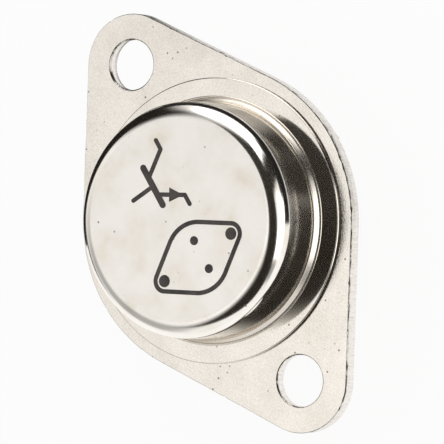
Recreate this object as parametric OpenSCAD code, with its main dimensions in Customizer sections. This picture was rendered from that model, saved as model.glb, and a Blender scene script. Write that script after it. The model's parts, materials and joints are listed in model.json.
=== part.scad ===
// Power transistor in an oval metal case, of the TO-204 (TO-3) outline.
// The origin is the centre of the flange's underside, which is the seating
// plane. +Z runs up the axis of the cap, and X runs through both mounting
// holes. The two leads hang below the flange, a little towards +X.

/* [Flange] */
// Spacing of the two mounting holes, centre to centre
hole_spacing = 30.15; // [29:0.05:34]
// Diameter of each mounting hole
hole_d = 4.15; // [3:0.05:4.6]
// Width of the edge that the punch drew down at the top of each hole
hole_rollover = 0.12; // [0.05:0.01:0.2]
// Depth of the smooth part of each hole, below that edge
hole_land = 0.6; // [0.3:0.05:0.7]
// Width that each hole gains down its torn part, to the underside
hole_tear = 0.2; // [0.05:0.05:0.3]
// Radius of the two rounded ends, struck from the mounting holes
end_r = 4.2; // [3.4:0.1:5.2]
// Thickness of the flange
flange_t = 1.4; // [1:0.05:3]
// Width of the flange beside the raised platform, at the widest place
flange_rim = 1; // [0.5:0.05:1.5]

/* [Platform] */
// Height of the round platform above the flange
platform_h = 0.35; // [0.2:0.05:0.8]
// Width of the platform that stays bare round the cap's brim
platform_rim = 1.55; // [1:0.05:1.8]
// Radius of the platform's rounded edge
platform_edge_r = 0.1; // [0.05:0.01:0.18]

/* [Cap] */
// Outer radius of the cap's wall
cap_r = 9.5; // [9.2:0.05:9.8]
// Height of the cap, from the platform to its flat top
cap_h = 5.45; // [4.8:0.05:7.5]
// Thickness of the sheet that the cap is drawn from
cap_t = 0.6; // [0.3:0.05:0.8]
// Radius of the rounded shoulder at the top
shoulder_r = 1.45; // [0.9:0.05:1.8]
// Width of the welded brim outside the wall
brim_w = 0.55; // [0.45:0.05:0.8]
// Thickness of the brim
brim_t = 0.25; // [0.2:0.05:0.8]
// Radius of the bend between the wall and the brim
brim_bend_r = 0.15; // [0.1:0.05:0.3]
// Rounding of the brim's upper edge
brim_edge_r = 0.08; // [0.05:0.01:0.15]

/* [Leads] */
// Spacing of the two leads, centre to centre
lead_spacing = 10.92; // [10.6:0.02:11.3]
// Distance of the row of leads from the centre, towards one mounting hole
lead_offset = 1.815; // [1:0.005:2.4]
// Diameter of each lead below the flange, with its coat of solder
lead_d = 1; // [0.8:0.05:1.2]
// Length of each lead below the flange
lead_l = 11.7; // [8:0.1:14]
// Thickness of the solder that the leads were dipped in
dip_t = 0.03; // [0.02:0.01:0.05]
// Length of lead that the dip left bare below the flange
bare_l = 0.4; // [0.2:0.1:1.5]
// Length over which the solder thins out below that
dip_fade = 0.8; // [0.6:0.1:1.5]
// Length of the rounding at the free end of each lead
lead_tip = 0.2; // [0.1:0.05:0.35]
// Height of each lead's head above the platform
post_h = 1.5; // [1.2:0.05:2]
// Diameter of the flat head inside the case
head_d = 1.7; // [1.5:0.05:2]
// Thickness of that head
head_t = 0.35; // [0.2:0.05:0.6]

/* [Glass seals] */
// Diameter of each glass bead
seal_d = 3.3; // [2.8:0.1:3.6]
// Depth of the glass below the faces on either side of it
seal_recess = 0.15; // [0.05:0.05:0.3]
// Height and width of the glass that climbs each lead
meniscus = 0.1; // [0.05:0.01:0.12]

/* [Chip and heat spreader] */
// Length of the copper heat spreader along X
spreader_l = 8.4; // [7:0.1:9.5]
// Gap between the spreader and each glass bead
spreader_gap = 0.5; // [0.3:0.05:0.8]
// Thickness of the spreader
spreader_t = 0.9; // [0.5:0.05:1.2]
// Radius of the spreader's corners
spreader_corner_r = 0.8; // [0.3:0.05:1.2]
// Thickness of the braze under the spreader
braze_t = 0.08; // [0.04:0.01:0.15]
// Side of the square silicon chip
chip_w = 4.6; // [4:0.1:5]
// Thickness of the chip
chip_t = 0.3; // [0.2:0.01:0.5]
// Thickness of the solder under the chip
solder_t = 0.08; // [0.04:0.01:0.15]
// Width of the solder and of the braze that shows round what lies on it
joint_margin = 0.2; // [0.1:0.05:0.35]
// Thickness of the aluminium contact pads on the chip
pad_t = 0.03; // [0.02:0.01:0.08]
// Width of the bare strip between the two pads and at the chip's edge
pad_gap = 0.3; // [0.2:0.05:0.4]
// Width of the pad that the base wire is bonded to
base_pad_w = 0.9; // [0.7:0.05:1.1]

/* [Bond wires] */
// Diameter of the two emitter wires
emitter_wire_d = 0.38; // [0.25:0.01:0.4]
// Diameter of the base wire
base_wire_d = 0.25; // [0.15:0.01:0.3]
// Distance between the emitter wires
wire_pitch = 0.74; // [0.7:0.01:0.8]
// Angle at which the wires rise from their bonds
wire_rise = 58; // [40:1:70]
// Length of each flattened bond
bond_l = 0.7; // [0.5:0.05:0.8]

/* [Ink marks] */
// Thickness of the ink on the cap
ink_t = 0.03; // [0.02:0.01:0.06]
// Width of the drawn lines
ink_line_w = 0.36; // [0.25:0.01:0.5]
// Height of the transistor symbol
symbol_h = 6; // [4:0.1:6.5]
// Length of the small plan of the case, which shows where the leads are
plan_l = 9.2; // [7:0.1:9.6]
// Gap between the symbol and the plan
marks_gap = 1; // [0.4:0.1:2]
// Turn of the marks on the cap, from +X
ink_angle = 90; // [-180:1:180]

/* [Hidden] */
$fn = 96;
through = 1;
hair = 0.002;

brim_r = cap_r + brim_w;
platform_r = brim_r + platform_rim;
waist_r = platform_r + flange_rim;
hole_x = hole_spacing / 2;
platform_z = flange_t + platform_h;
cap_top_z = platform_z + cap_h;

lead_y = lead_spacing / 2;
core_r = lead_d / 2 - dip_t;
head_z = platform_z + post_h;

spreader_w = lead_spacing - seal_d - 2 * spreader_gap;
spreader_z = platform_z + braze_t;
solder_z = spreader_z + spreader_t;
chip_z = solder_z + solder_t;
pad_z = chip_z + chip_t;
bond_z = pad_z + pad_t;
pad_span = chip_w - 2 * pad_gap;
emitter_pad_w = pad_span - base_pad_w - pad_gap;
emitter_pad_y = pad_span / 2 - emitter_pad_w / 2;
base_pad_y = base_pad_w / 2 - pad_span / 2;

steel_cap = "#d9d2c4";
steel_header = "#c9c1b4";
dipped_lead = "#c4c4c2";
seal_glass = "#3d5a52";
copper = "#b87353";
braze = "#d8cfa0";
solder = "#9a9da1";
silicon = "#4a4f5c";
aluminium = "#dfe1e3";
ink = "#3c3a38";

// An oval: a round middle and two round ends, joined by the straight lines
// that touch both. shrink draws it smaller all round. The straight sides lie
// a hair inside the lines that touch, so that they cross the arcs cleanly.
module oval(middle_r, end_r, end_x, shrink = 0) {
    touch = acos((middle_r - end_r) / end_x);
    inset = shrink + hair;
    at_middle = (middle_r - inset) * [cos(touch), sin(touch)];
    at_end = [end_x, 0] + (end_r - inset) * [cos(touch), sin(touch)];
    circle(r = middle_r - shrink);
    for (side = [0, 180])
        rotate(side) {
            translate([end_x, 0]) circle(r = end_r - shrink);
            polygon([[at_middle.x, -at_middle.y], [at_end.x, -at_end.y],
                     at_end, at_middle]);
        }
}

// One of the mounting holes, as a punch leaves it: an edge drawn down, a
// smooth part, and a torn part that widens to the underside.
module mounting_hole() {
    hole_r = hole_d / 2;
    tear_h = flange_t - hole_rollover - hole_land;
    translate([0, 0, -through]) cylinder(h = flange_t + 2 * through, r = hole_r);
    cylinder(h = tear_h, r1 = hole_r + hole_tear, r2 = hole_r);
    translate([0, 0, -through]) cylinder(h = through, r = hole_r + hole_tear);
    translate([0, 0, flange_t - hole_rollover])
        cylinder(h = hole_rollover, r1 = hole_r, r2 = hole_r + hole_rollover);
    translate([0, 0, flange_t]) cylinder(h = through, r = hole_r + hole_rollover);
}

// The round platform that is raised on the flange, with a rounded edge.
module platform() {
    inner_r = platform_r - platform_edge_r;
    side_h = platform_h - platform_edge_r;
    translate([0, 0, flange_t]) rotate_extrude() {
        square([inner_r, platform_h]);
        square([platform_r, side_h]);
        intersection() {
            translate([inner_r, side_h]) circle(r = platform_edge_r);
            translate([inner_r, side_h]) square(platform_edge_r);
        }
    }
}

// The steel base plate, which carries the case, the seals and the chip.
module header_plate() {
    color(steel_header) difference() {
        union() {
            linear_extrude(flange_t) oval(waist_r, end_r, hole_x);
            platform();
        }
        for (side = [-1, 1])
            translate([side * hole_x, 0, 0]) mounting_hole();
        for (side = [-1, 1])
            translate([lead_offset, side * lead_y, -through])
                cylinder(h = platform_z + 2 * through, d = seal_d);
    }
}

// Half section of the cap: brim, bend, wall, shoulder and top.
module cap_section() {
    wall_inner_r = cap_r - cap_t;
    inner_shoulder_r = shoulder_r - cap_t;
    difference() {
        union() {
            square([brim_r, brim_t - brim_edge_r]);
            square([brim_r - brim_edge_r, brim_t]);
            translate([brim_r - brim_edge_r, brim_t - brim_edge_r]) circle(r = brim_edge_r);
            square([cap_r + brim_bend_r, brim_t + brim_bend_r]);
            square([cap_r, cap_h - shoulder_r]);
            square([cap_r - shoulder_r, cap_h]);
            translate([cap_r - shoulder_r, cap_h - shoulder_r]) circle(r = shoulder_r);
        }
        translate([cap_r + brim_bend_r, brim_t + brim_bend_r]) circle(r = brim_bend_r);
        translate([0, -through]) {
            square([wall_inner_r, through + cap_h - shoulder_r]);
            square([cap_r - shoulder_r, through + cap_h - cap_t]);
        }
        translate([cap_r - shoulder_r, cap_h - shoulder_r]) circle(r = inner_shoulder_r);
        translate([-cap_r, -through]) square([cap_r, cap_h + 2 * through]);
    }
}

// The drawn steel cap, welded to the platform by its brim.
module cap() {
    color(steel_cap) translate([0, 0, platform_z]) rotate_extrude() cap_section();
}

// A lead with its flat head inside the case, its length below the flange
// and a rounded tip. The solder on it thins out to the bare lead. side is
// -1 or 1.
module lead(side) {
    dip_z = -bare_l - dip_fade;
    color(dipped_lead) translate([lead_offset, side * lead_y, 0]) {
        translate([0, 0, dip_z]) {
            cylinder(h = head_z - dip_z, r = core_r);
            cylinder(h = dip_fade, r1 = lead_d / 2, r2 = core_r);
        }
        translate([0, 0, lead_tip - lead_l])
            cylinder(h = dip_z + lead_l - lead_tip, d = lead_d);
        translate([0, 0, -lead_l])
            cylinder(h = lead_tip, d1 = lead_d - 2 * lead_tip, d2 = lead_d);
        translate([0, 0, head_z - head_t]) cylinder(h = head_t, d = head_d);
    }
}

// The glass bead that holds a lead and keeps it apart from the flange.
module seal(side) {
    bead_h = platform_z - 2 * seal_recess;
    color(seal_glass) translate([lead_offset, side * lead_y, seal_recess])
        rotate_extrude()
            polygon([[core_r, -meniscus], [core_r + meniscus, 0], [seal_d / 2, 0],
                     [seal_d / 2, bead_h], [core_r + meniscus, bead_h],
                     [core_r, bead_h + meniscus]]);
}

// A flat block with round corners, centred on the Z axis.
module rounded_block(size, corner_r, height) {
    inner = size - 2 * [corner_r, corner_r];
    linear_extrude(height) {
        square([size.x, inner.y], center = true);
        square([inner.x, size.y], center = true);
        for (x = [-1, 1], y = [-1, 1])
            translate([x * inner.x, y * inner.y] / 2) circle(r = corner_r);
    }
}

// The braze that joins the heat spreader to the platform.
module spreader_braze() {
    size = [spreader_l, spreader_w] + 2 * [joint_margin, joint_margin];
    color(braze) translate([0, 0, platform_z])
        rounded_block(size, spreader_corner_r + joint_margin, braze_t);
}

// The copper block that spreads the chip's heat.
module heat_spreader() {
    color(copper) translate([0, 0, spreader_z])
        rounded_block([spreader_l, spreader_w], spreader_corner_r, spreader_t);
}

// A square layer of the chip's stack, from z upwards.
module square_layer(width, z, height) {
    translate([-width / 2, -width / 2, z]) cube([width, width, height]);
}

// The solder under the chip.
module chip_solder() {
    color(solder) square_layer(chip_w + 2 * joint_margin, solder_z, solder_t);
}

// The silicon chip.
module chip() {
    color(silicon) square_layer(chip_w, chip_z, chip_t);
}

// A contact pad that runs across the chip, centred at y.
module pad(y, width) {
    color(aluminium) translate([-pad_span / 2, y - width / 2, pad_z])
        cube([pad_span, width, pad_t]);
}

// The flattened end of a bond wire, which lies on a pad or on a lead's head.
module bond(wire_d) {
    bond_w = 1.3 * wire_d;
    bond_h = 0.7 * wire_d;
    translate([-bond_l / 2, -bond_w / 2, 0]) cube([bond_l, bond_w, bond_h]);
}

// A wire that rises from a bond at one point and comes down to another.
module bond_wire(from, to, wire_d) {
    step = to - from;
    heading = atan2(step.y, step.x);
    slope = atan2(step.z, norm([step.x, step.y]));
    chord = norm(step);
    loop_r = chord / 2 / sin(wire_rise);
    color(aluminium) {
        for (end = [from, to])
            translate(end) rotate(heading) bond(wire_d);
        translate(from + [0, 0, wire_d / 2]) rotate([0, -slope, heading])
            translate([chord / 2, 0, -loop_r * cos(wire_rise)])
                rotate([90, 0, 0]) rotate(90 - wire_rise)
                    rotate_extrude(angle = 2 * wire_rise)
                        translate([loop_r, 0]) circle(d = wire_d, $fn = 32);
    }
}

// One of the two emitter wires. side is -1 or 1.
module emitter_wire(side) {
    shift = side * wire_pitch / 2;
    bond_wire([lead_offset / 2 + shift, emitter_pad_y, bond_z],
              [lead_offset + shift, lead_y, head_z], emitter_wire_d);
}

// The wire between the base pad and the base lead.
module base_wire() {
    bond_wire([lead_offset / 2, base_pad_y, bond_z],
              [lead_offset, -lead_y, head_z], base_wire_d);
}

// A drawn line with round ends.
module ink_line(from, to, width = ink_line_w) {
    step = to - from;
    for (end = [from, to])
        translate(end) circle(d = width, $fn = 32);
    translate(from) rotate(atan2(step.y, step.x))
        translate([0, -width / 2]) square([norm(step), width]);
}

// The common circuit symbol of an NPN transistor, centred on the origin.
module transistor_symbol() {
    bar_h = 0.58 * symbol_h;
    tap = 0.22 * bar_h;
    arm = [0.36 * symbol_h, 0.36 * symbol_h];
    arrow_l = 3.6 * ink_line_w;
    arrow_w = 3.2 * ink_line_w;
    emitter_run = [arm.x, tap - arm.y];
    translate([-arm.x / 4, 0]) {
        ink_line([0, -bar_h / 2], [0, bar_h / 2], 1.5 * ink_line_w);
        ink_line([-arm.x, 0], [0, 0]);
        for (side = [-1, 1]) {
            ink_line([0, side * tap], [arm.x, side * arm.y]);
            ink_line([arm.x, side * arm.y], [arm.x, side * symbol_h / 2]);
        }
        translate([0, -tap] + 0.94 * emitter_run)
            rotate(atan2(emitter_run.y, emitter_run.x))
                polygon([[0, 0], [-arrow_l, arrow_w / 2], [-arrow_l, -arrow_w / 2]]);
    }
}

// A small plan of the case: its outline, its mounting holes and its leads.
module case_plan() {
    plan_scale = plan_l / (hole_spacing + 2 * end_r);
    plan_middle_r = plan_scale * waist_r;
    plan_end_r = plan_scale * end_r;
    plan_x = plan_scale * hole_x;
    difference() {
        oval(plan_middle_r, plan_end_r, plan_x);
        oval(plan_middle_r, plan_end_r, plan_x, ink_line_w);
    }
    for (side = [-1, 1]) {
        translate([side * plan_x, 0]) circle(d = plan_scale * hole_d);
        translate(plan_scale * [lead_offset, side * lead_y])
            circle(d = 2 * ink_line_w);
    }
}

// The ink on the flat top of the cap.
module ink_marks() {
    plan_w = 2 * waist_r * plan_l / (hole_spacing + 2 * end_r);
    marks_h = symbol_h + marks_gap + plan_w;
    color(ink) translate([0, 0, cap_top_z]) rotate(ink_angle)
        linear_extrude(ink_t) {
            translate([0, (marks_h - symbol_h) / 2]) transistor_symbol();
            translate([0, (plan_w - marks_h) / 2]) case_plan();
        }
}

header_plate();
cap();
lead(-1);  // base_lead
lead(1);  // emitter_lead
seal(-1);  // base_seal
seal(1);  // emitter_seal
spreader_braze();
heat_spreader();
chip_solder();
chip();
pad(emitter_pad_y, emitter_pad_w);  // emitter_pad
pad(base_pad_y, base_pad_w);  // base_pad
emitter_wire(-1);  // emitter_wire_1
emitter_wire(1);  // emitter_wire_2
base_wire();
ink_marks();
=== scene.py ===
import json
import math

import bmesh
import bpy
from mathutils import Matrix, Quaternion, Vector, noise


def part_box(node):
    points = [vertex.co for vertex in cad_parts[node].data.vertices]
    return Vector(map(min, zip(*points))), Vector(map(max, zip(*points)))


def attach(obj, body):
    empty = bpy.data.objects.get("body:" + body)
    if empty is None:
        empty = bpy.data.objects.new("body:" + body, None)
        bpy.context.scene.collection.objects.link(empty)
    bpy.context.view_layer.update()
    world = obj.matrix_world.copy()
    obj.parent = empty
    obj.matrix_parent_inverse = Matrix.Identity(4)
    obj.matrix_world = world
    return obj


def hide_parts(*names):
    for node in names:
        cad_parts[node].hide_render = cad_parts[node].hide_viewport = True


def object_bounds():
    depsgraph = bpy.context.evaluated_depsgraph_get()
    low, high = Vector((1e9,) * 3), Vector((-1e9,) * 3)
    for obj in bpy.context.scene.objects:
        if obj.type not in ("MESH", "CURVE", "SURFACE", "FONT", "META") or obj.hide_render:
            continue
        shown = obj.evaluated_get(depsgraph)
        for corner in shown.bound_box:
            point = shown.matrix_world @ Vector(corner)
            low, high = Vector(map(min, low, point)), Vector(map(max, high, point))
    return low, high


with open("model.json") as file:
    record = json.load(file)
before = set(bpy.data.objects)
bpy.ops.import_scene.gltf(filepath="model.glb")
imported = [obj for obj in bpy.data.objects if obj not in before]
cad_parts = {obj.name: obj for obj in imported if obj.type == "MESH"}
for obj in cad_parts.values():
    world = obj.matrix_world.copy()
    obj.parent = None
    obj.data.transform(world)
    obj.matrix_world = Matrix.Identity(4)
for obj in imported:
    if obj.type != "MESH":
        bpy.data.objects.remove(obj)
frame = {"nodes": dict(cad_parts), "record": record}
cadLow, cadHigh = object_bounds()
mm = 0.001
mounts = {mount["name"]: mount for mount in frame["record"]["mounts"]}
holeX = mounts["mounting_holes"]["dims"]["spacing_x_mm"] * mm / 2
holeRadius = mounts["mounting_holes"]["dims"]["hole_r_mm"] * mm
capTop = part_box("cap")[1].z
samePlace = 0.002 * mm               # corners this near to a place count as on it
rimSlack = 0.02 * mm                 # the same on round rims, whose facets lie a little inside
doubleGap = 0.0002 * mm              # corners this near to each other are merged
print("frame loaded:", len(frame["nodes"]), "nodes")


def only(piece):
    bpy.ops.object.select_all(action="DESELECT")
    piece.select_set(True)
    bpy.context.view_layer.objects.active = piece


def edit(piece):
    only(piece)
    bpy.ops.object.mode_set(mode="EDIT")
    bpy.ops.mesh.select_all(action="DESELECT")


def leave():
    bpy.ops.object.mode_set(mode="OBJECT")


# selects only the vertices, edges or faces whose every corner passes the test
def pick(piece, part, test):
    bpy.ops.mesh.select_mode(type=part)
    bpy.ops.mesh.select_all(action="DESELECT")
    shape = bmesh.from_edit_mesh(piece.data)
    for element in {"VERT": shape.verts, "EDGE": shape.edges, "FACE": shape.faces}[part]:
        corners = [element] if part == "VERT" else element.verts
        if all(test(corner.co) for corner in corners):
            element.select_set(True)
    bmesh.update_edit_mesh(piece.data)


def near(value, target, within=samePlace):
    return abs(value - target) < within


# distance from an upright axis through x, y
def away(place, x=0.0, y=0.0):
    return math.hypot(place.x - x, place.y - y)


def extrude(offset):
    bpy.ops.mesh.extrude_region_move(TRANSFORM_OT_translate={"value": offset})


# widens or narrows what is selected, about the Z axis
def scaleAcross(factor, height=0.0):
    bpy.ops.transform.resize(value=(factor, factor, 1), center_override=(0, 0, height))


def roundEdges(piece, test, width, steps):
    pick(piece, "EDGE", test)
    bpy.ops.mesh.bevel(offset=width, segments=steps, affect="EDGES")


# a ring of edges where the level plane at this height cuts the piece
def addRing(height):
    bpy.ops.mesh.select_all(action="SELECT")
    bpy.ops.mesh.bisect(plane_co=(0, 0, height), plane_no=(0, 0, 1))


def applyModifier(piece, kind, **settings):
    only(piece)
    modifier = piece.modifiers.new(kind.lower(), kind)
    for name, value in settings.items():
        setattr(modifier, name, value)
    bpy.ops.object.modifier_apply(modifier=modifier.name)


def addDisc(x, y, radius, low, high, sides):
    bpy.ops.mesh.primitive_cylinder_add(
        vertices=sides, radius=radius, depth=high - low, location=(x, y, (low + high) / 2))
    disc = bpy.context.active_object
    bpy.ops.object.transform_apply(location=True, rotation=True, scale=True)
    return disc


# cuts or joins another solid, which is then removed
def combine(piece, tool, operation):
    applyModifier(piece, "BOOLEAN", object=tool, operation=operation, solver="EXACT")
    bpy.data.objects.remove(tool)


# merges doubles, turns the faces outwards and smooths all but sharp edges
def finishPiece(piece, name, material, nodes, angle=32):
    edit(piece)
    bpy.ops.mesh.select_all(action="SELECT")
    bpy.ops.mesh.remove_doubles(threshold=doubleGap)
    bpy.ops.mesh.normals_make_consistent(inside=False)
    leave()
    bpy.ops.object.shade_smooth_by_angle(angle=math.radians(angle))
    applyModifier(piece, "WEIGHTED_NORMAL", keep_sharp=True, weight=100)
    piece.name = name
    piece.data.name = name
    piece.data.materials.append(material)
    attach(piece, "root")
    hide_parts(*nodes)
    print("made", name, "with", len(piece.data.polygons), "faces")


# finishes a piece modelled on the Z axis at the base lead's place, and a copy,
# turned by some degrees, at the emitter lead's
def finishPair(piece, kind, material, turn=0, angle=32):
    other = piece.copy()
    other.data = piece.data.copy()
    bpy.context.scene.collection.objects.link(other)
    for each, side, degrees in ((piece, "base", 0), (other, "emitter", turn)):
        edit(each)
        bpy.ops.mesh.select_all(action="SELECT")
        bpy.ops.transform.rotate(
            value=math.radians(degrees), orient_axis="Z", center_override=(0, 0, 0))
        x, y, z = mounts[side + "_pin"]["pos_m"]
        bpy.ops.transform.translate(value=(x, y, 0))
        leave()
        node = side + "_" + kind.lower()
        finishPiece(each, side + kind, material, [node], angle)


# an sRGB hex colour as linear numbers
def colour(code):
    parts = [int(code[at:at + 2], 16) / 255 for at in (1, 3, 5)]
    return tuple(v / 12.92 if v <= 0.04045 else ((v + 0.055) / 1.055) ** 2.4 for v in parts) + (1.0,)


# adds a node, with its settings and with its inputs set or linked
def add(tree, kind, settings=None, inputs=None):
    made = tree.nodes.new(kind)
    for name, value in (settings or {}).items():
        setattr(made, name, value)
    for name, value in (inputs or {}).items():
        if isinstance(value, bpy.types.NodeSocket):
            tree.links.new(value, made.inputs[name])
        else:
            made.inputs[name].default_value = value
    return made


def newMaterial(name):
    material = bpy.data.materials.new(name)
    material.use_nodes = True
    tree = material.node_tree
    shader = tree.nodes["Principled BSDF"]
    place = add(tree, "ShaderNodeTexCoord").outputs["Object"]
    return material, tree, shader, place


# a noise scale for detail of about this size in millimetres
def grain(size):
    return 1 / (size * mm)


def setStops(ramp, stops):
    elements = ramp.color_ramp.elements
    while len(elements) < len(stops):
        elements.new(0.5)
    for element, (at, shade) in zip(elements, stops):
        element.position = at
        element.color = shade


# how far a place lies from the Z axis, as a node's output
def addReach(tree, place):
    flat = add(tree, "ShaderNodeVectorMath", {"operation": "MULTIPLY"}, {0: place, 1: (1, 1, 0)})
    return add(tree, "ShaderNodeVectorMath", {"operation": "LENGTH"}, {0: flat.outputs[0]}).outputs["Value"]


cameraView = {
    "aim": (0.468, 0.552, 1.4),      # mm, the point that it looks at
    "distance": 306.93,              # mm
    "azimuth": 57.32,                # degrees from +X
    "elevation": 59.80,
    "roll": -89.04,
    "lens": 307.61,                  # mm, on a 36 mm sensor
}


def direction(azimuth, elevation):
    a, e = math.radians(azimuth), math.radians(elevation)
    return Vector((math.cos(a) * math.cos(e), math.sin(a) * math.cos(e), math.sin(e)))


def makeCamera():
    data = bpy.data.cameras.new("camera")
    data.lens = cameraView["lens"]
    data.sensor_width = 36
    data.clip_start = 0.01
    camera = bpy.data.objects.new("camera", data)
    bpy.context.scene.collection.objects.link(camera)
    back = direction(cameraView["azimuth"], cameraView["elevation"])
    camera.location = Vector(cameraView["aim"]) * mm + back * cameraView["distance"] * mm
    camera.rotation_mode = "QUATERNION"
    roll = Quaternion((0, 0, 1), math.radians(cameraView["roll"]))
    camera.rotation_quaternion = (-back).to_track_quat("-Z", "Y") @ roll
    bpy.context.scene.camera = camera


makeCamera()
print("camera set")


# what the nickel plate of the flange and of the cap share
nickelGrain = {
    "mottleSize": 0.16,              # mm
    "blotchSize": 2.6,               # mm
    "pitCell": 0.9,                  # mm, about four times the widest pit
    "pitColour": "#85776a",
    "pitCore": 0.05,                 # radius up to which a pit is dark, as a share of its cell
    "pitEdge": 0.13,                 # and the one at which it is gone
    "pitSpread": 0.25,               # how much the pits differ in strength
}


# the plate's fine mottle and its broad blotches
def addNickelGrain(tree, place):
    mottle = add(tree, "ShaderNodeTexNoise", {}, {
        "Vector": place, "Scale": grain(nickelGrain["mottleSize"]), "Detail": 3.0, "Roughness": 0.6})
    blotch = add(tree, "ShaderNodeTexNoise", {}, {
        "Vector": place, "Scale": grain(nickelGrain["blotchSize"]), "Detail": 3.0})
    return mottle.outputs["Fac"], blotch.outputs["Fac"]


# scattered pits over a paint: the rarer they are, the fewer cells hold one
def addPits(tree, place, paint, rarity):
    look = nickelGrain
    cells = add(tree, "ShaderNodeTexVoronoi", {}, {"Vector": place, "Scale": grain(look["pitCell"])})
    spot = add(tree, "ShaderNodeMapRange", {}, {
        "Value": cells.outputs["Distance"], "From Min": look["pitEdge"], "From Max": look["pitCore"]})
    chosen = add(tree, "ShaderNodeMapRange", {}, {
        "Value": cells.outputs["Color"], "From Min": rarity, "From Max": rarity + look["pitSpread"]})
    pits = add(tree, "ShaderNodeMath", {"operation": "MULTIPLY"}, {
        0: spot.outputs[0], 1: chosen.outputs[0]})
    return add(tree, "ShaderNodeMix", {"data_type": "RGBA"}, {
        "Factor": pits.outputs[0], "A": paint, "B": colour(look["pitColour"])}).outputs["Result"]


# roughness that follows the mottle between two limits: the first pair all over,
# each further pair where its mask lets it
def layRoughness(tree, shader, mottle, layers):
    finish = None
    for limits, mask in layers:
        gloss = add(tree, "ShaderNodeMapRange", {}, {
            "Value": mottle, "From Min": 0.3, "From Max": 0.7,
            "To Min": limits[0], "To Max": limits[1]}).outputs[0]
        finish = gloss if finish is None else add(tree, "ShaderNodeMix", {}, {
            "Factor": mask, "A": finish, "B": gloss}).outputs["Result"]
    tree.links.new(finish, shader.inputs["Roughness"])


flangeLook = {
    "light": "#f7f1e8",
    "dark": "#ded7cc",
    "pitRarity": 0.42,
    "roughness": (0.11, 0.17),
    "relief": 0.35,
    "platformStart": (1.62 * mm, 1.7 * mm),      # heights between which the platform's look sets in
    "platformRoughness": (0.06, 0.08),
    "platformRelief": 0.015,
    "sideStart": (0.02 * mm, 0.08 * mm),         # heights between which the side's look sets in
    "sideEnd": (0.02 * mm, 0.1 * mm),            # depths under the top between which it ends
    "sideLight": "#faf6f0",
    "sideDark": "#e6dfd6",
    "sideRoughness": (0.26, 0.38),
    "streakSize": 0.12,              # mm
    "streakStretch": 0.12,           # a streak's width against its height
    # painted shade and dark reflection under the broken edge: its colour, the size of its runs and its band
    "paintedEdgeShade": "#3b342d",
    "paintedEdgeShadeSize": 0.9,                # mm
    "paintedEdgeShadeTop": (0.002 * mm, 0.02 * mm),         # depths under the top
    "paintedEdgeShadeBottom": (0.04 * mm, 0.18 * mm),       # heights over the top, before the sag
    "paintedEdgeShadeSag": 0.7 * mm,            # how far the blotches pull that lower edge down
}
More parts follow.
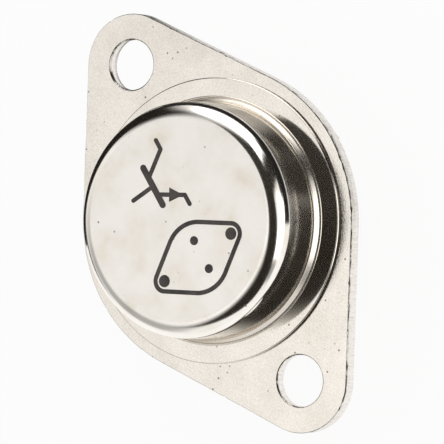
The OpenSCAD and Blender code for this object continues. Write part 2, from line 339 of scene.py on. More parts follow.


# dull nickel plate over blanked and coined steel: a warm satin with a mottled
# grain and a few pits, near a mirror on the coined platform. The blanked sides
# are a little paler, duller and streaked, with painted shade under their broken edge
def flangeNickel(thick):
    material, tree, shader, place = newMaterial("flangeNickel")
    look = flangeLook
    mottle, blotch = addNickelGrain(tree, place)
    mixed = add(tree, "ShaderNodeMath", {"operation": "MULTIPLY_ADD"}, {0: blotch, 1: 0.6, 2: mottle})
    shade = add(tree, "ShaderNodeValToRGB", {}, {"Fac": mixed.outputs[0]})
    setStops(shade, [(0.5, colour(look["dark"])), (1.0, colour(look["light"]))])
    paint = addPits(tree, place, shade.outputs["Color"], look["pitRarity"])
    height = add(tree, "ShaderNodeSeparateXYZ", {}, {"Vector": place}).outputs["Z"]

    # the sides: everything between the underside and the top
    above = add(tree, "ShaderNodeMapRange", {}, {
        "Value": height, "From Min": look["sideStart"][0], "From Max": look["sideStart"][1]})
    below = add(tree, "ShaderNodeMapRange", {}, {
        "Value": height, "From Min": thick - look["sideEnd"][0], "From Max": thick - look["sideEnd"][1]})
    side = add(tree, "ShaderNodeMath", {"operation": "MULTIPLY"}, {
        0: above.outputs[0], 1: below.outputs[0]})
    tall = add(tree, "ShaderNodeMapping", {}, {
        "Vector": place, "Scale": (1.0, 1.0, look["streakStretch"])})
    streak = add(tree, "ShaderNodeTexNoise", {}, {
        "Vector": tall.outputs["Vector"], "Scale": grain(look["streakSize"]),
        "Detail": 3.0, "Roughness": 0.7})
    sheared = add(tree, "ShaderNodeValToRGB", {}, {"Fac": streak.outputs["Fac"]})
    setStops(sheared, [(0.36, colour(look["sideDark"])), (0.6, colour(look["sideLight"]))])
    sided = add(tree, "ShaderNodeMix", {"data_type": "RGBA"}, {
        "Factor": side.outputs[0], "A": paint, "B": sheared.outputs["Color"]})

    # painted shade and dark reflection in the rolled edge, in short broken runs
    run = add(tree, "ShaderNodeTexNoise", {}, {
        "Vector": place, "Scale": grain(look["paintedEdgeShadeSize"]), "Detail": 4.0, "Roughness": 0.7})
    sagged = add(tree, "ShaderNodeMath", {"operation": "MULTIPLY_ADD"}, {
        0: blotch, 1: look["paintedEdgeShadeSag"], 2: height})
    bottom = add(tree, "ShaderNodeMapRange", {}, {
        "Value": sagged.outputs[0],
        "From Min": thick + look["paintedEdgeShadeBottom"][0], "From Max": thick + look["paintedEdgeShadeBottom"][1]})
    top = add(tree, "ShaderNodeMapRange", {}, {
        "Value": height, "From Min": thick - look["paintedEdgeShadeTop"][0], "From Max": thick - look["paintedEdgeShadeTop"][1]})
    kept = add(tree, "ShaderNodeMapRange", {}, {
        "Value": run.outputs["Fac"], "From Min": 0.45, "From Max": 0.55, "To Min": 0.2, "To Max": 1.0})
    band = add(tree, "ShaderNodeMath", {"operation": "MULTIPLY"}, {
        0: bottom.outputs[0], 1: top.outputs[0]})
    paintedEdgeShade = add(tree, "ShaderNodeMath", {"operation": "MULTIPLY"}, {
        0: band.outputs[0], 1: kept.outputs[0]})
    edgeShaded = add(tree, "ShaderNodeMix", {"data_type": "RGBA"}, {
        "Factor": paintedEdgeShade.outputs[0], "A": sided.outputs["Result"], "B": colour(look["paintedEdgeShade"])})
    tree.links.new(edgeShaded.outputs["Result"], shader.inputs["Base Color"])

    raised = add(tree, "ShaderNodeMapRange", {}, {
        "Value": height, "From Min": look["platformStart"][0], "From Max": look["platformStart"][1]})
    layRoughness(tree, shader, mottle, (
        (look["roughness"], None),
        (look["platformRoughness"], raised.outputs[0]),
        (look["sideRoughness"], side.outputs[0]),
    ))
    relief = add(tree, "ShaderNodeMapRange", {}, {
        "Value": height, "From Min": look["platformStart"][0], "From Max": look["platformStart"][1],
        "To Min": look["relief"], "To Max": look["platformRelief"]})
    bump = add(tree, "ShaderNodeBump", {}, {
        "Height": mottle, "Strength": relief.outputs[0], "Distance": 0.01 * mm})
    tree.links.new(bump.outputs["Normal"], shader.inputs["Normal"])
    shader.inputs["Metallic"].default_value = 1.0
    return material


capLook = {
    "light": "#fffbf4",
    "dark": "#f9f3ea",
    "stain": "#f3ebdd",
    "brim": "#e6dfd5",
    "pitRarity": 0.6,
    "relief": 0.06,
    "shoulderRoughness": (0.10, 0.16),
    "topRoughness": (0.30, 0.40),
    "topEnd": (8.3 * mm, 8.1 * mm),              # radii between which the satin top sets in
    "wallRoughness": (0.12, 0.15),
    "wallStart": (1.45 * mm, 1.9 * mm),          # depths between which the wall's finish sets in
    "brimRoughness": (0.17, 0.27),
    "brimStart": (2.25 * mm, 2.1 * mm),          # heights between which the brim's finish sets in
}


# nickel plate on deep-drawn steel: satin on the flat top, with faint stains and
# pits, near a mirror on the drawn shoulder, about the same down the wall, and
# darker and duller on the brim, which the weld heated
def capNickel():
    material, tree, shader, place = newMaterial("capNickel")
    look = capLook
    mottle, blotch = addNickelGrain(tree, place)
    shade = add(tree, "ShaderNodeValToRGB", {}, {"Fac": blotch})
    setStops(shade, [
        (0.3, colour(look["stain"])), (0.4, colour(look["dark"])), (0.6, colour(look["light"]))])
    pitted = addPits(tree, place, shade.outputs["Color"], look["pitRarity"])
    height = add(tree, "ShaderNodeSeparateXYZ", {}, {"Vector": place}).outputs["Z"]
    onBrim = add(tree, "ShaderNodeMapRange", {}, {
        "Value": height, "From Min": look["brimStart"][0], "From Max": look["brimStart"][1]})
    paint = add(tree, "ShaderNodeMix", {"data_type": "RGBA"}, {
        "Factor": onBrim.outputs[0], "A": pitted, "B": colour(look["brim"])})
    tree.links.new(paint.outputs["Result"], shader.inputs["Base Color"])
    onTop = add(tree, "ShaderNodeMapRange", {}, {
        "Value": addReach(tree, place), "From Min": look["topEnd"][0], "From Max": look["topEnd"][1]})
    onWall = add(tree, "ShaderNodeMapRange", {}, {
        "Value": height,
        "From Min": capTop - look["wallStart"][0], "From Max": capTop - look["wallStart"][1]})
    layRoughness(tree, shader, mottle, (
        (look["shoulderRoughness"], None),
        (look["wallRoughness"], onWall.outputs[0]),
        (look["brimRoughness"], onBrim.outputs[0]),
        (look["topRoughness"], onTop.outputs[0]),
    ))
    bump = add(tree, "ShaderNodeBump", {}, {
        "Height": mottle, "Strength": look["relief"], "Distance": 0.005 * mm})
    tree.links.new(bump.outputs["Normal"], shader.inputs["Normal"])
    shader.inputs["Metallic"].default_value = 1.0
    return material


# two tones mottled at two scales, with the gloss varied by the finer one: the
# base of the finishes below. Sizes are in mm
def mottledFinish(name, look):
    material, tree, shader, place = newMaterial(name)
    turned = add(tree, "ShaderNodeMapping", {}, {
        "Vector": place, "Scale": look.get("stretch", (1.0, 1.0, 1.0))})
    fine = add(tree, "ShaderNodeTexNoise", {}, {
        "Vector": turned.outputs["Vector"], "Scale": grain(look["fine"]), "Detail": 4.0, "Roughness": 0.6})
    broad = add(tree, "ShaderNodeTexNoise", {}, {
        "Vector": place, "Scale": grain(look["broad"]), "Detail": 2.0})
    mixed = add(tree, "ShaderNodeMix", {}, {
        "Factor": look.get("share", 0.5), "A": fine.outputs["Fac"], "B": broad.outputs["Fac"]})
    shade = add(tree, "ShaderNodeValToRGB", {}, {"Fac": mixed.outputs["Result"]})
    setStops(shade, [(0.38, colour(look["dark"])), (0.62, colour(look["light"]))])
    tree.links.new(shade.outputs["Color"], shader.inputs["Base Color"])
    gloss = add(tree, "ShaderNodeMapRange", {}, {
        "Value": fine.outputs["Fac"], "From Min": 0.35, "From Max": 0.65,
        "To Min": look["roughness"][0], "To Max": look["roughness"][1]})
    tree.links.new(gloss.outputs[0], shader.inputs["Roughness"])
    bump = add(tree, "ShaderNodeBump", {}, {
        "Height": fine.outputs["Fac"], "Strength": look["relief"], "Distance": 0.01 * mm})
    tree.links.new(bump.outputs["Normal"], shader.inputs["Normal"])
    shader.inputs["Metallic"].default_value = look["metallic"]
    return material, tree, shader, place, shade.outputs["Color"]


smallLooks = {
    # pale gold braze, smooth where it ran, dull at its edge
    "braze": {
        "light": "#e2d6a8", "dark": "#b7a673", "fine": 0.12, "broad": 1.2,
        "roughness": (0.2, 0.4), "relief": 0.3, "metallic": 1.0},
    # rolled copper, reddened by the brazing furnace, with the roll's fine lines
    "copperSpreader": {
        "light": "#cf8a66", "dark": "#9c5a3c", "fine": 0.08, "broad": 1.8,
        "stretch": (0.1, 1.0, 1.0), "roughness": (0.22, 0.42), "relief": 0.25, "metallic": 1.0},
    # grey soft solder with a frosted, crystalline skin
    "chipSolder": {
        "light": "#b4b6b8", "dark": "#7d8084", "fine": 0.06, "broad": 0.6,
        "roughness": (0.3, 0.5), "relief": 0.4, "metallic": 1.0},
    # polished silicon: dark slate with the faint tints of its oxide
    "siliconChip": {
        "light": "#5d6a86", "dark": "#3a3f52", "fine": 0.3, "broad": 1.6, "share": 0.8,
        "roughness": (0.06, 0.14), "relief": 0.02, "metallic": 0.0},
    # soft bright aluminium of the pads and wires, satin from the bonding tool
    "bondAluminium": {
        "light": "#eef0f2", "dark": "#c9cccf", "fine": 0.05, "broad": 0.5,
        "roughness": (0.2, 0.34), "relief": 0.3, "metallic": 1.0},
    # stamped ink, matte, a little thin and patchy at the metal's grain
    "markingInk": {
        "light": "#4b4541", "dark": "#2e2a28", "fine": 0.1, "broad": 1.1,
        "roughness": (0.5, 0.7), "relief": 0.3, "metallic": 0.0},
}

leadLook = {
    "light": "#dcdddd", "dark": "#aeb0b1", "fine": 0.14, "broad": 1.3, "share": 0.6,
    "stretch": (1.0, 1.0, 0.35), "roughness": (0.14, 0.34), "relief": 0.25, "metallic": 1.0,
    "bare": "#b3aa9c",
    "bareEnd": (-0.5 * mm, -1.1 * mm),           # heights between which the solder covers it
}


# tinned leads: bright solder with duller frosted patches, thinning to the bare
# nickel-iron of the lead near the flange
def leadSolder():
    material, tree, shader, place, tinned = mottledFinish("leadSolder", leadLook)
    height = add(tree, "ShaderNodeSeparateXYZ", {}, {"Vector": place}).outputs["Z"]
    bare = add(tree, "ShaderNodeMapRange", {}, {
        "Value": height, "From Min": leadLook["bareEnd"][1], "From Max": leadLook["bareEnd"][0]})
    paint = add(tree, "ShaderNodeMix", {"data_type": "RGBA"}, {
        "Factor": bare.outputs[0], "A": tinned, "B": colour(leadLook["bare"])})
    tree.links.new(paint.outputs["Result"], shader.inputs["Base Color"])
    return material


sealLook = {
    "light": "#44594f", "dark": "#22302c", "fine": 0.3, "broad": 0.9,
    "roughness": (0.05, 0.12), "relief": 0.04, "metallic": 0.0,
    "bubble": "#8ea096",
    "bubbleCell": 0.32,              # mm, two to three times the widest bubble
}


# fused sealing glass: dark grey-green, glossy, clouded, with small pale bubbles
def sealGlass():
    material, tree, shader, place, clouded = mottledFinish("sealGlass", sealLook)
    bubbles = add(tree, "ShaderNodeTexVoronoi", {}, {
        "Vector": place, "Scale": grain(sealLook["bubbleCell"])})
    spot = add(tree, "ShaderNodeMapRange", {}, {
        "Value": bubbles.outputs["Distance"], "From Min": 0.2, "From Max": 0.12})
    paint = add(tree, "ShaderNodeMix", {"data_type": "RGBA"}, {
        "Factor": spot.outputs[0], "A": clouded, "B": colour(sealLook["bubble"])})
    tree.links.new(paint.outputs["Result"], shader.inputs["Base Color"])
    shader.inputs["IOR"].default_value = 1.55
    return material


# the oval flange with its raised platform. A round has its width and its steps
plateSize = {
    "flangeThickness": 1.4 * mm,
    "platformRadius": 11.6 * mm,
    "platformRound": (0.1 * mm, 4),
    "bottomRound": (0.2 * mm, 5),
    "topRound": (0.06 * mm, 2),
    "holeRound": (0.12 * mm, 4),
    "holeTear": 0.2 * mm,            # how much wider a hole is at the underside
    "tearStart": 0.68 * mm,          # height at which a hole's torn part starts
    # heights in mm of the rows of points that the wear moves
    "sideRows": (0.32, 0.45, 0.58, 0.68, 0.78, 0.88, 0.97, 1.05, 1.12, 1.18, 1.24),
    "stepLength": 0.2 * mm,          # spacing of the outline's points
    "platformSides": 384,
    "holeSides": 160,
    "sealSides": 96,
}


# the flange's blank: the hull of a round middle and two round ends, with points
# added along its straight edges, which are by far its longest
def makeBlank(low, thick, middle, end):
    step = plateSize["stepLength"]
    discs = []
    for x, radius in ((0, middle), (-holeX, end), (holeX, end)):
        sides = 4 * round(2 * math.pi * radius / step / 4)
        discs.append(addDisc(x, 0, radius, low, low + thick, sides))
    for disc in discs:
        disc.select_set(True)
    bpy.ops.object.join()
    blank = bpy.context.active_object
    edit(blank)
    bpy.ops.mesh.select_all(action="SELECT")
    bpy.ops.mesh.convex_hull()
    bpy.ops.mesh.select_all(action="SELECT")
    bpy.ops.mesh.dissolve_limited(angle_limit=math.radians(0.1))
    bpy.ops.mesh.select_mode(type="EDGE")
    bpy.ops.mesh.select_all(action="DESELECT")
    shape = bmesh.from_edit_mesh(blank.data)
    straight = [edge for edge in shape.edges if edge.calc_length() > 2 * thick]
    for edge in straight:
        edge.select_set(True)
    cuts = round(straight[-1].calc_length() / step)
    bmesh.update_edit_mesh(blank.data)
    bpy.ops.mesh.subdivide(number_cuts=cuts)
    leave()
    return blank


# how far inside the oval outline a point lies
def outlineGap(place, middle, end):
    x, y = abs(place.x), abs(place.y)
    touch = math.acos((middle - end) / holeX)
    along = Vector((math.cos(touch), math.sin(touch)))
    flat = Vector((x, y))
    if math.atan2(y, x) > touch:
        return middle - flat.length
    fromEnd = flat - Vector((holeX, 0))
    if math.atan2(fromEnd.y, fromEnd.x) < touch:
        return end - fromEnd.length
    return middle - flat.dot(along)


# widens the lower part of the punched holes, where the steel tore
def tearHoles(plate):
    start, tear = plateSize["tearStart"], plateSize["holeTear"]
    shape = bmesh.from_edit_mesh(plate.data)
    for vertex in shape.verts:
        p = vertex.co
        for x in (-holeX, holeX):
            if away(p, x) < holeRadius + rimSlack and p.z < start:
                grow = 1 + tear / holeRadius * (1 - p.z / start)
                p.x = x + (p.x - x) * grow
                p.y *= grow
    bmesh.update_edit_mesh(plate.data)


def makePlate(material):
    low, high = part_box("header_plate")
    size = plateSize
    thick = size["flangeThickness"]
    middle, end = high.y, high.x - holeX
    plate = makeBlank(low.z, thick, middle, end)
    platform = addDisc(0, 0, size["platformRadius"], low.z + thick / 2, high.z, size["platformSides"])
    combine(plate, platform, "UNION")
    sealLow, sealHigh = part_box("base_seal")
    sealRadius = (sealHigh.x - sealLow.x) / 2
    cuts = [(x, 0, holeRadius, size["holeSides"]) for x in (-holeX, holeX)]
    for pin in ("base_pin", "emitter_pin"):
        x, y, z = mounts[pin]["pos_m"]
        cuts.append((x, y, sealRadius, size["sealSides"]))
    for x, y, radius, sides in cuts:
        combine(plate, addDisc(x, y, radius, low.z - mm, high.z + mm, sides), "DIFFERENCE")

    edit(plate)
    platformRadius = size["platformRadius"]
    roundEdges(
        plate, lambda p: near(p.z, high.z) and near(away(p), platformRadius, rimSlack),
        *size["platformRound"])
    for x in (-holeX, holeX):
        roundEdges(
            plate, lambda p: near(p.z, thick) and near(away(p, x), holeRadius, rimSlack),
            *size["holeRound"])
    # this round leaves out the two points on the Y axis
    roundEdges(
        plate, lambda p: near(p.z, low.z) and p.x != 0 and outlineGap(p, middle, end) < rimSlack,
        *size["bottomRound"])
    roundEdges(
        plate, lambda p: near(p.z, thick) and outlineGap(p, middle, end) < rimSlack,
        *size["topRound"])
    for row in size["sideRows"]:
        addRing(row * mm)
    tearHoles(plate)
    leave()
    roughenSide(plate, middle, end, thick)
    finishPiece(plate, "headerPlate", material, ["header_plate"])


edgeWear = {
    "sideStart": 0.25 * mm,          # height, over the bottom's round
    "sideBand": 0.03 * mm,           # what lies deeper inside the outline isn't the side
    "lipBand": 0.08 * mm,            # width and height of the worn lip at the top
    "streakDepth": 0.012 * mm,
    "streakSize": 0.35 * mm,
    "streakStretch": 0.1,            # a streak's width against its height
    "waveSize": 2.5 * mm,
    "tornFrom": 0.85 * mm,           # height at which the side turns from sheared to torn
    "tornWave": 0.15 * mm,           # how far that height wanders
    "tornFade": 0.1 * mm,
    "tornDepth": 0.05 * mm,
    "tornSize": 0.16 * mm,
    "lipDepth": 0.02 * mm,
    "nickDepth": 0.16 * mm,
    "nickSize": 0.5 * mm,
    "nickLevel": 0.38,               # noise above this makes a nick
}


# level direction from the lip into the flange: at its ends towards the hole,
# between them towards the middle, turned a little along the outline
def inwards(p):
    if abs(p.x) > holeX:
        way = Vector((math.copysign(holeX, p.x) - p.x, -p.y, 0))
    else:
        way = Vector((-0.35 * p.x, -p.y, 0))
    return way.normalized()


# the blanking die's mark on the flange's side: sheared streaks below, a torn
# band above, and a lip at the top with a few nicks from handling
def roughenSide(plate, middle, end, thick):
    wear = edgeWear
    for vertex in plate.data.vertices:
        p = vertex.co
        gap = outlineGap(p, middle, end)
        onLip = p.z > thick - wear["lipBand"] and gap < wear["lipBand"]
        onSide = p.z >= wear["sideStart"] and gap <= wear["sideBand"]
        if not onLip and not onSide:
            continue
        wave = noise.noise(Vector((p.x, p.y, 0)) / wear["waveSize"])
        if onLip:
            spot = noise.noise(Vector((p.x, p.y, 0)) / wear["nickSize"])
            nick = max(0, spot - wear["nickLevel"]) / (1 - wear["nickLevel"])
            depth = wear["lipDepth"] * (0.5 + wave) + wear["nickDepth"] * nick
            way = inwards(p)
        else:
            streak = noise.noise(Vector((p.x, p.y, p.z * wear["streakStretch"])) / wear["streakSize"])
            torn = min(1, max(0, (p.z - wear["tornFrom"] - wear["tornWave"] * wave) / wear["tornFade"]))
            rough = noise.noise(p / wear["tornSize"])
            depth = wear["streakDepth"] * (0.5 + streak) + torn * wear["tornDepth"] * (0.5 + rough)
            way = Vector((-vertex.normal.x, -vertex.normal.y, 0)).normalized()
        vertex.co = p + way * max(0, depth)


# the cap, drawn from sheet, with a round shoulder and a welded brim
capSize = {
    "wallRadius": 9.5 * mm,
    "sheet": 0.6 * mm,
    "shoulder": 1.45 * mm,
    "shoulderSteps": 28,
    "innerSteps": 12,                # the same on the shoulder's inside
    "draft": 0.15 * mm,              # how much wider the wall is at its foot
    "flareRadius": 0.25 * mm,        # the wall's hollow curve outwards into the brim
    "flareTurn": 40,                 # degrees
    "flareSteps": 5,
    "skirt": 0.21 * mm,              # width of the brim's sloping top
    "brimEdge": 0.066 * mm,          # height of its upright edge
    "grooveFloor": 0.01 * mm,        # height to which that edge runs down
    "grooveLean": 0.006 * mm,        # how far it leans out on the way
    "weldGap": 0.05 * mm,            # between the edge and the weld's bead
    "weldBead": 0.08 * mm,           # radius of the bead
    "beadAngles": (150, 125, 100, 75, 50, 25, 3),        # degrees, from the groove outwards
    "brimSlack": 0.0005 * mm,        # a finer samePlace for the brim's close points
    "turns": 384,                    # steps round the axis
}


# height over the platform at which the wall's foot turns into the brim
def flareTop():
    turn = math.radians(capSize["flareTurn"])
    slope = capSize["skirt"] / math.tan(turn)
    return capSize["brimEdge"] + slope + capSize["flareRadius"] * math.sin(turn)


# the brim's outside from the wall's foot outwards, as radii and heights over the
# platform: the hollow curve, the sloping skirt, its edge, the groove and the bead
def brimProfile(foot):
    size = capSize
    turn, flare = math.radians(size["flareTurn"]), size["flareRadius"]
    profile = []
    for step in range(1, size["flareSteps"] + 1):
        lean = turn * step / size["flareSteps"]
        profile.append((foot + flare * (1 - math.cos(lean)), flareTop() - flare * math.sin(lean)))
    edge = profile[-1][0] + size["skirt"]
    profile.append((edge, size["brimEdge"]))
    profile.append((edge + size["grooveLean"], size["grooveFloor"]))
    for angle in size["beadAngles"]:
        lean, bead = math.radians(angle), size["weldBead"]
        profile.append((edge + size["weldGap"] + bead * (1 + math.cos(lean)), bead * math.sin(lean)))
    return profile


def makeCap(material):
    low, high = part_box("cap")
    size = capSize
    outer, sheet, draft, slack = size["wallRadius"], size["sheet"], size["draft"], size["brimSlack"]
    inner, foot, top = outer - sheet, outer + draft, flareTop()
    bpy.ops.mesh.primitive_plane_add(
        size=sheet, rotation=(math.pi / 2, 0, 0),
        location=(outer - sheet / 2, 0, high.z - sheet / 2))
    cap = bpy.context.active_object
    bpy.ops.object.transform_apply(location=True, rotation=True, scale=True)

    # half of the section: the top to the axis, the wall down, the brim outwards
    edit(cap)
    pick(cap, "EDGE", lambda p: near(p.x, inner))
    extrude((-inner, 0, 0))
    pick(cap, "EDGE", lambda p: near(p.z, high.z - sheet) and p.x > inner - samePlace)
    extrude((0, 0, -(size["shoulder"] - sheet)))
    extrude((draft, 0, low.z + top - high.z + size["shoulder"]))
    extrude((0, 0, -top))
    pick(cap, "EDGE", lambda p: near(p.x, foot) and p.z < low.z + top + samePlace)
    radius = foot
    for nextRadius, nextTop in brimProfile(foot):
        extrude((nextRadius - radius, 0, 0))
        radius = nextRadius
        pick(cap, "VERT", lambda p: near(p.x, radius, slack) and near(p.z, low.z + top))
        bpy.ops.transform.translate(value=(0, 0, nextTop - top))
        top = nextTop
        pick(cap, "EDGE", lambda p: near(p.x, radius, slack))
    bpy.ops.mesh.select_mode(type="VERT")
    bpy.ops.mesh.select_all(action="SELECT")
    bpy.ops.mesh.dissolve_limited(angle_limit=math.radians(0.2))
    for x, z, radius, steps in (
            (outer, high.z, size["shoulder"], size["shoulderSteps"]),
            (inner, high.z - sheet, size["shoulder"] - sheet, size["innerSteps"])):
        pick(cap, "VERT", lambda p: near(p.x, x) and near(p.z, z))
        bpy.ops.mesh.bevel(offset=radius, segments=steps, affect="VERTICES")

    # the section's outline, open at the axis, spun round it
    bpy.ops.mesh.select_all(action="SELECT")
    bpy.ops.mesh.delete(type="ONLY_FACE")
    pick(cap, "EDGE", lambda p: near(p.x, 0))
    bpy.ops.mesh.delete(type="EDGE")
    bpy.ops.mesh.select_all(action="SELECT")
    bpy.ops.mesh.spin(steps=size["turns"], angle=2 * math.pi, center=(0, 0, 0), axis=(0, 0, 1))
    leave()
    finishPiece(cap, "capShell", material, ["cap"])


# straight leads with a flat head, dipped in solder below the glass. A round has
# its width and its steps
leadSize = {
    "core": 0.47 * mm,
    "coat": 0.5 * mm,
    "head": 0.85 * mm,
    "headThickness": 0.35 * mm,
    "headRound": (0.07 * mm, 3),
    "bare": 0.4 * mm,                # undipped length below the flange
    "fade": 0.8 * mm,                # length over which the solder thickens
    "tipRound": (0.2 * mm, 5),
    "tipFlat": 0.3 * mm,             # radius of the flat that is left at the tip
    "ringStep": 0.3 * mm,
    "rings": 36,
    "ripple": 0.014 * mm,            # unevenness of the solder
    "rippleSize": 0.9 * mm,
    "rippleSink": 0.8,               # keeps it below the coat's full size
    "runShare": 0.6,                 # of runs, drawn out along the lead, to ripple
    "runSize": 0.5 * mm,
    "runStretch": 0.3,               # a run's width against its length
    "turn": 130,                     # degrees, so that the two leads don't look alike
    "sides": 48,
}


def makeLeads(material):
    low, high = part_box("base_lead")
    size = leadSize
    headUnder = high.z - size["headThickness"]
    lead = addDisc(0, 0, size["core"], -size["bare"], headUnder, size["sides"])
    edit(lead)
    pick(lead, "FACE", lambda p: near(p.z, headUnder))
    extrude((0, 0, 0))
    scaleAcross(size["head"] / size["core"], headUnder)
    extrude((0, 0, size["headThickness"]))
    roundEdges(
        lead, lambda p: p.z > headUnder - samePlace and near(away(p), size["head"], rimSlack),
        *size["headRound"])
    pick(lead, "FACE", lambda p: near(p.z, -size["bare"]))
    extrude((0, 0, -size["fade"]))
    scaleAcross(size["coat"] / size["core"])
    extrude((0, 0, low.z + size["bare"] + size["fade"]))
    roundEdges(lead, lambda p: near(p.z, low.z), *size["tipRound"])
    for ring in range(size["rings"]):
        addRing(low.z + (1 + ring) * size["ringStep"])
    leave()
    for vertex in lead.data.vertices:
        p = vertex.co
        if p.z < -size["bare"] - size["fade"] and away(p) > size["tipFlat"]:
            run = noise.noise(Vector((p.x, p.y, p.z * size["runStretch"])) / size["runSize"])
            wave = noise.noise(p / size["rippleSize"]) + size["runShare"] * run - size["rippleSink"]
            reach = 1 + size["ripple"] / size["coat"] * wave
            vertex.co = Vector((p.x * reach, p.y * reach, p.z))
    finishPair(lead, "Lead", material, turn=size["turn"])


# glass beads round the leads: the glass climbs the lead and the steel a little
sealSize = {
    "radius": 1.65 * mm,
    "recess": 0.15 * mm,
    "core": 0.47 * mm,
    "sides": 64,
    # mm from the rim to the lead: radius, and how far the glass stands proud there
    "inward": ((1.5, 0), (1.0, -0.015), (0.72, 0), (0.59, 0.025), (0.51, 0.06), (0.47, 0.1)),
    "rim": 0.06 * mm,                # how far it climbs the steel
}


def makeSeals(material):
    size = sealSize
    plateLow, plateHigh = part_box("header_plate")
    lower, upper = plateLow.z + size["recess"], plateHigh.z - size["recess"]
    bead = addDisc(0, 0, size["radius"], lower - size["rim"], upper + size["rim"], size["sides"])
    edit(bead)
    for level, way in ((lower, -1), (upper, 1)):
        pick(bead, "FACE", lambda p: near(p.z, level + way * size["rim"]))
        radius, height = size["radius"], size["rim"]
        for nextRadius, nextHeight in size["inward"]:
            extrude((0, 0, way * (nextHeight * mm - height)))
            scaleAcross(nextRadius * mm / radius)
            radius, height = nextRadius * mm, nextHeight * mm
        bpy.ops.mesh.delete(type="ONLY_FACE")
    pick(bead, "EDGE", lambda p: near(away(p), size["core"]))
    bpy.ops.mesh.bridge_edge_loops()
    leave()
    finishPair(bead, "Seal", material, angle=50)


studio = {
    "floorShade": "#f2f2f2",
    "floorGlow": 0.88,               # share of the floor's white that isn't shaded
    "floorSize": 6,                  # m
    "skyForShade": 0.8,
    "skySeen": 0.92,                 # the room's white walls as reflections show them
}


# 1 for rays that reach the camera, straight or through reflections and glass,
# and 0 for those that only light something
def addSeen(tree):
    rays = add(tree, "ShaderNodeLightPath")
    seen = add(tree, "ShaderNodeMath", {"operation": "MAXIMUM"}, {
        0: rays.outputs["Is Camera Ray"], 1: rays.outputs["Is Glossy Ray"]})
    return add(tree, "ShaderNodeMath", {"operation": "MAXIMUM"}, {
        0: seen.outputs[0], 1: rays.outputs["Is Transmission Ray"]}).outputs[0]


def makeWorld():
    world = bpy.data.worlds.new("studio")
    bpy.context.scene.world = world
    world.use_nodes = True
    tree = world.node_tree
    back = tree.nodes["Background"]
    back.inputs["Color"].default_value = (1, 1, 1, 1)
    level = add(tree, "ShaderNodeMapRange", {}, {
        "Value": addSeen(tree), "To Min": studio["skyForShade"], "To Max": studio["skySeen"]})
    tree.links.new(level.outputs[0], back.inputs["Strength"])


# a material whose surface is still to be linked
def bareMaterial(name):
    material = bpy.data.materials.new(name)
    material.use_nodes = True
    tree = material.node_tree
    tree.nodes.remove(tree.nodes["Principled BSDF"])
    return material, tree, tree.nodes["Material Output"].inputs["Surface"]


# white paper that glows by itself, so that it stays white, with a share of real
# shading for the shadow. Clear from below, so that the underside can be looked at
def floorPaper():
    material, tree, surface = bareMaterial("floorPaper")
    plain = add(tree, "ShaderNodeBsdfDiffuse", {}, {"Color": colour(studio["floorShade"])})
    glow = add(tree, "ShaderNodeEmission", {}, {"Color": (1, 1, 1, 1), "Strength": 1.0})
    mixed = add(tree, "ShaderNodeMixShader", {}, {
        "Fac": studio["floorGlow"], 1: plain.outputs[0], 2: glow.outputs[0]})
    paper = add(tree, "ShaderNodeMixShader", {}, {
        "Fac": addSeen(tree), 1: plain.outputs[0], 2: mixed.outputs[0]})
    face = add(tree, "ShaderNodeNewGeometry")
    clear = add(tree, "ShaderNodeBsdfTransparent")
    final = add(tree, "ShaderNodeMixShader", {}, {
        "Fac": face.outputs["Backfacing"], 1: paper.outputs[0], 2: clear.outputs[0]})
    tree.links.new(final.outputs[0], surface)
    return material


def makeFloor():
    bpy.ops.mesh.primitive_plane_add(size=studio["floorSize"], location=(0, 0, cadLow.z))
    floor = bpy.context.active_object
    floor.name = "floor"
    floor.data.materials.append(floorPaper())


# a flat glow of this tone that lets rays through where its cover is below 1
def reflectedTone(tree, surface, tone, cover):
    clear = add(tree, "ShaderNodeBsdfTransparent")
    paper = add(tree, "ShaderNodeEmission", {}, {"Color": tone, "Strength": 1.0})
    mixed = add(tree, "ShaderNodeMixShader", {}, {"Fac": cover, 1: clear.outputs[0], 2: paper.outputs[0]})
    tree.links.new(mixed.outputs[0], surface)


def onlyReflected(piece):
    piece.visible_camera = False
    piece.visible_diffuse = False
    piece.visible_shadow = False
    piece.visible_transmission = False


# cards that only reflections show: the black flags and grey boards that stand
# round a small shiny object. An upright card has its direction from the cap's
# top and its distance in mm, a level one its centre in mm from the cap's top.
# All have a size in mm, a turn in their own plane, the softness of their edge,
# their shade and how much they hide
cards = {
    "flagOverhead": {
        "centre": (34, 44, 105), "size": (250, 106), "turn": 2,
        "soft": 0.25, "shade": 0.03, "cover": 1.0},
    "flagHigh": {
        "centre": (162, -2, 102), "size": (336, 212), "turn": 14,
        "soft": 0.35, "shade": 0.02, "cover": 1.0},
    "flagGap": {
        "azimuth": 98, "elevation": 27, "distance": 200, "size": (98, 330), "turn": 3,
        "soft": 0.4, "shade": 0.02, "cover": 1.0},
    "flagLow": {
        "azimuth": 98, "elevation": -5, "distance": 90, "size": (100, 40), "turn": 0,
        "soft": 0.4, "shade": 0.02, "cover": 1.0},
    "flagLeft": {
        "azimuth": 193, "elevation": 14, "distance": 120, "size": (104, 290), "turn": 0,
        "soft": 0.75, "shade": 0.012, "cover": 1.0},
    "flagCorner": {
        "azimuth": 212, "elevation": 1, "distance": 120, "size": (150, 84), "turn": -45,
        "soft": 0.3, "shade": 0.012, "cover": 1.0},
    "flagBack": {
        "azimuth": 247, "elevation": -2, "distance": 140, "size": (100, 56), "turn": 0,
        "soft": 0.8, "shade": 0.03, "cover": 0.9},
    "boardSide": {
        "azimuth": 20, "elevation": 13, "distance": 200, "size": (100, 110), "turn": 0,
        "soft": 0.7, "shade": 0.25, "cover": 0.85},
    "boardGrey": {
        "azimuth": 268, "elevation": 28, "distance": 220, "size": (360, 210), "turn": 0,
        "soft": 0.7, "shade": 0.25, "cover": 0.75},
    "boardWhite": {
        "azimuth": 262, "elevation": 72, "distance": 200, "size": (170, 150), "turn": 0,
        "soft": 0.8, "shade": 1.1, "cover": 1.0},
}
cardWarmth = 0.003                   # more red and less blue, which shows on the black ones


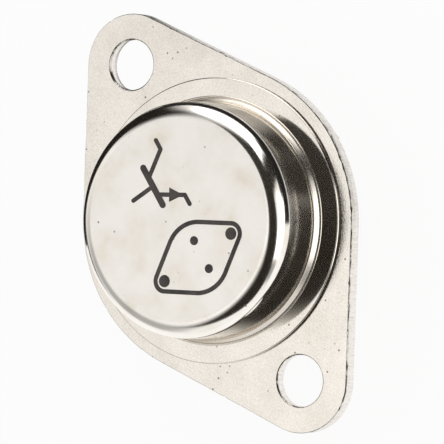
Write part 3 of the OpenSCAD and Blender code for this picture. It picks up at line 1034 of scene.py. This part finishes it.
# the card's cover fades out towards each of its four edges
def cardPaper(name, card):
    material, tree, surface = bareMaterial(name)
    place = add(tree, "ShaderNodeTexCoord").outputs["Object"]
    split = add(tree, "ShaderNodeSeparateXYZ", {}, {"Vector": place})
    fades = []
    for axis, cover in (("X", card["cover"]), ("Y", 1.0)):
        size = add(tree, "ShaderNodeMath", {"operation": "ABSOLUTE"}, {0: split.outputs[axis]})
        fades.append(add(tree, "ShaderNodeMapRange", {"interpolation_type": "SMOOTHSTEP"}, {
            "Value": size.outputs[0], "From Min": 1.0 - card["soft"], "From Max": 1.0,
            "To Min": cover, "To Max": 0.0}))
    cover = add(tree, "ShaderNodeMath", {"operation": "MULTIPLY"}, {
        0: fades[0].outputs[0], 1: fades[1].outputs[0]})
    shade = card["shade"]
    reflectedTone(tree, surface, (shade + cardWarmth, shade, shade - cardWarmth, 1), cover.outputs[0])
    return material


def makeCards():
    top = Vector((0, 0, capTop))
    for name, card in cards.items():
        bpy.ops.mesh.primitive_plane_add(size=2)
        piece = bpy.context.active_object
        piece.name = name
        piece.rotation_mode = "QUATERNION"
        turn = Quaternion((0, 0, 1), math.radians(card["turn"]))
        if "centre" in card:
            piece.location = top + Vector(card["centre"]) * mm
            piece.rotation_quaternion = turn
        else:
            back = direction(card["azimuth"], card["elevation"])
            piece.location = top + back * card["distance"] * mm
            piece.rotation_quaternion = back.to_track_quat("Z", "Y") @ turn
        piece.scale = (card["size"][0] / 2 * mm, card["size"][1] / 2 * mm, 1)
        piece.data.materials.append(cardPaper(name, card))
        onlyReflected(piece)


# the dark table round the white paper that the part stands on, in sectors from
# one azimuth to another. It sets in between the radii inner and full, and ends
# at the radius outer, all in mm
tableSectors = {
    "tableFar": {"start": 56, "end": 186, "inner": 20, "full": 30, "outer": 140},
    "tableLeft": {"start": 186, "end": 245, "inner": 12, "full": 20, "outer": 260},
}
table = {
    "lift": 0.3 * mm,                # over the floor
    "shade": 0.015,
    "steps": 48,
}


def tablePaper(name, sector):
    material, tree, surface = bareMaterial(name)
    place = add(tree, "ShaderNodeTexCoord").outputs["Object"]
    cover = add(tree, "ShaderNodeMapRange", {"interpolation_type": "SMOOTHSTEP"}, {
        "Value": addReach(tree, place),
        "From Min": sector["inner"] * mm, "From Max": sector["full"] * mm})
    shade = table["shade"]
    reflectedTone(tree, surface, (shade, shade, shade, 1), cover.outputs[0])
    return material


# a plane is cut down to one edge, which is stretched from the sector's inner to
# its outer radius and spun from its start to its end
def makeTable():
    for name, sector in tableSectors.items():
        inner, outer = sector["inner"] * mm, sector["outer"] * mm
        start, sweep = math.radians(sector["start"]), math.radians(sector["start"] - sector["end"])
        bpy.ops.mesh.primitive_plane_add(size=2 * mm, location=(inner, 0, cadLow.z + table["lift"]))
        piece = bpy.context.active_object
        piece.name = name
        bpy.ops.object.transform_apply(location=True, rotation=True, scale=True)
        edit(piece)
        pick(piece, "VERT", lambda p: p.y > 0)
        bpy.ops.mesh.delete(type="VERT")
        pick(piece, "VERT", lambda p: p.x > inner)
        bpy.ops.transform.translate(value=(outer - inner, mm, 0))
        pick(piece, "VERT", lambda p: p.x < outer - mm)
        bpy.ops.transform.translate(value=(mm, mm, 0))
        bpy.ops.mesh.select_all(action="SELECT")
        bpy.ops.transform.rotate(value=-start, orient_axis="Z", center_override=(0, 0, 0))
        bpy.ops.mesh.spin(steps=table["steps"], angle=sweep, center=(0, 0, 0), axis=(0, 0, 1))
        leave()
        piece.data.materials.append(tablePaper(name, sector))
        onlyReflected(piece)


# two softboxes: radiance is what a mirror would show, where 1 is white. Sizes
# and distances are in mm
softboxes = {
    "softboxFar": {
        "azimuth": 143, "elevation": 19, "distance": 250,
        "width": 265, "height": 280, "radiance": 1.0},
    "softboxNear": {
        "azimuth": 54, "elevation": 12, "distance": 250,
        "width": 225, "height": 245, "radiance": 0.9},
}


def makeLamps():
    for name, box in softboxes.items():
        data = bpy.data.lights.new(name, "AREA")
        data.shape = "RECTANGLE"
        data.size, data.size_y = box["width"] * mm, box["height"] * mm
        data.energy = box["radiance"] * math.pi * data.size * data.size_y
        lamp = bpy.data.objects.new(name, data)
        bpy.context.scene.collection.objects.link(lamp)
        back = direction(box["azimuth"], box["elevation"])
        lamp.location = Vector((0, 0, capTop)) + back * box["distance"] * mm
        lamp.rotation_mode = "QUATERNION"
        lamp.rotation_quaternion = back.to_track_quat("Z", "Y")
        lamp.visible_camera = False


makeWorld()
makeFloor()
makeCards()
makeTable()
makeLamps()
print("studio set")

makePlate(flangeNickel(plateSize["flangeThickness"]))
makeCap(capNickel())
makeLeads(leadSolder())
makeSeals(sealGlass())

# the other pieces keep their CAD shape and only get a finish
finishNames = {
    "braze": "braze",
    "copper": "copperSpreader",
    "solder": "chipSolder",
    "silicon": "siliconChip",
    "bond_aluminium": "bondAluminium",
    "ink": "markingInk",
}
finishes = {slot: mottledFinish(name, smallLooks[name])[0] for slot, name in finishNames.items()}
slots = {part["node"]: part["material_slot"] for part in frame["record"]["subparts"]}
for name, node in frame["nodes"].items():
    if slots[name] in finishes:
        node.data.materials.clear()
        node.data.materials.append(finishes[slots[name]])
print("small pieces finished")

bpy.context.scene.view_settings.view_transform = "Standard"
